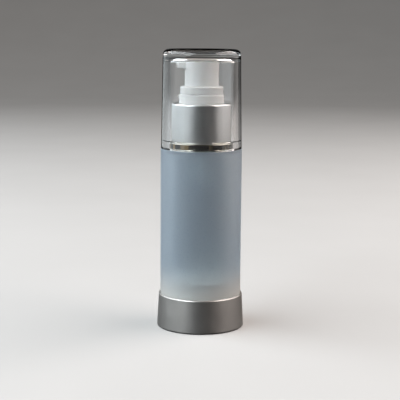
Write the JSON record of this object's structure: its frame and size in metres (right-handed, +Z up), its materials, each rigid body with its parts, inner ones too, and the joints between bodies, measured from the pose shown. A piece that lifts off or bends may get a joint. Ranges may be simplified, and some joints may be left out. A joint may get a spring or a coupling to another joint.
{
  "type": "foundation bottle",
  "caption": "Airless pump bottle: frosted tube on a metal base, press head with side spout, metal collar, clear overcap.",
  "frame": {"origin": "centre of the face that the bottle stands on, on the bottle's axis", "axes": "+Z up the bottle's axis, towards the overcap; the spout points along -X"},
  "size_m": [0.0356, 0.0356, 0.1134],
  "materials": {
    "satin_aluminium": "satin",
    "polished_aluminium": "polished",
    "frosted_plastic": "matte",
    "clear_plastic": "gloss",
    "white_plastic": "satin",
    "natural_plastic": "satin",
    "soft_polyethylene": "matte",
    "foam_liner": "matte",
    "stainless_steel": "polished"
  },
  "bodies": {
    "bottle": {"bottle": "frosted_plastic", "base_plug": "white_plastic", "base_shell": "satin_aluminium"},
    "follower": {"follower_piston": "soft_polyethylene"},
    "gasket": {"neck_gasket": "foam_liner"},
    "closure": {"closure": "white_plastic", "collar_shell": "satin_aluminium", "shoulder_ring": "polished_aluminium", "pump_housing": "natural_plastic", "ball_retainer": "natural_plastic", "guide_ring": "white_plastic", "pump_spring": "stainless_steel"},
    "stem": {"stem": "white_plastic", "piston_seat": "white_plastic"},
    "pump_piston": {"pump_piston": "soft_polyethylene"},
    "head": {"actuator": "white_plastic"},
    "inlet_valve": {"inlet_ball": "stainless_steel"},
    "overcap": {"overcap": "clear_plastic"}
  },
  "joints": [
    {"name": "follower_rise", "type": "slide", "parent": "bottle", "child": "follower", "axis": [0, 0, 1], "range_m": [0, 0.0513]},
    {"name": "closure_lift", "type": "slide", "parent": "bottle", "child": "gasket", "axis": [0, 0, 1], "range_m": [0, 0.00375]},
    {"name": "closure_turn", "type": "hinge", "parent": "gasket", "child": "closure", "pos_m": [0, 0, 0.086], "axis": [0, 0, 1], "range_deg": [0, 450]},
    {"name": "pump_stroke", "type": "slide", "parent": "closure", "child": "stem", "axis": [0, 0, -1], "range_m": [0, 0.005], "stiffness_N_per_m": 1500, "springref_m": -0.004, "deforming": ["pump_spring"]},
    {"name": "piston_slip", "type": "slide", "parent": "stem", "child": "pump_piston", "axis": [0, 0, 1], "range_m": [0, 0.0005]},
    {"name": "head_swivel", "type": "hinge", "parent": "stem", "child": "head", "pos_m": [0, 0, 0.1], "axis": [0, 0, 1], "continuous": true},
    {"name": "ball_lift", "type": "slide", "parent": "closure", "child": "inlet_valve", "axis": [0, 0, 1], "range_m": [0, 0.0008]},
    {"name": "cap_lift", "type": "slide", "parent": "closure", "child": "overcap", "axis": [0, 0, 1], "range_m": [0, 0.045]}
  ],
  "couplings": [
    {"joint": "closure_lift", "follows": "closure_turn", "m_per_rad": 0.00047746}
  ]
}
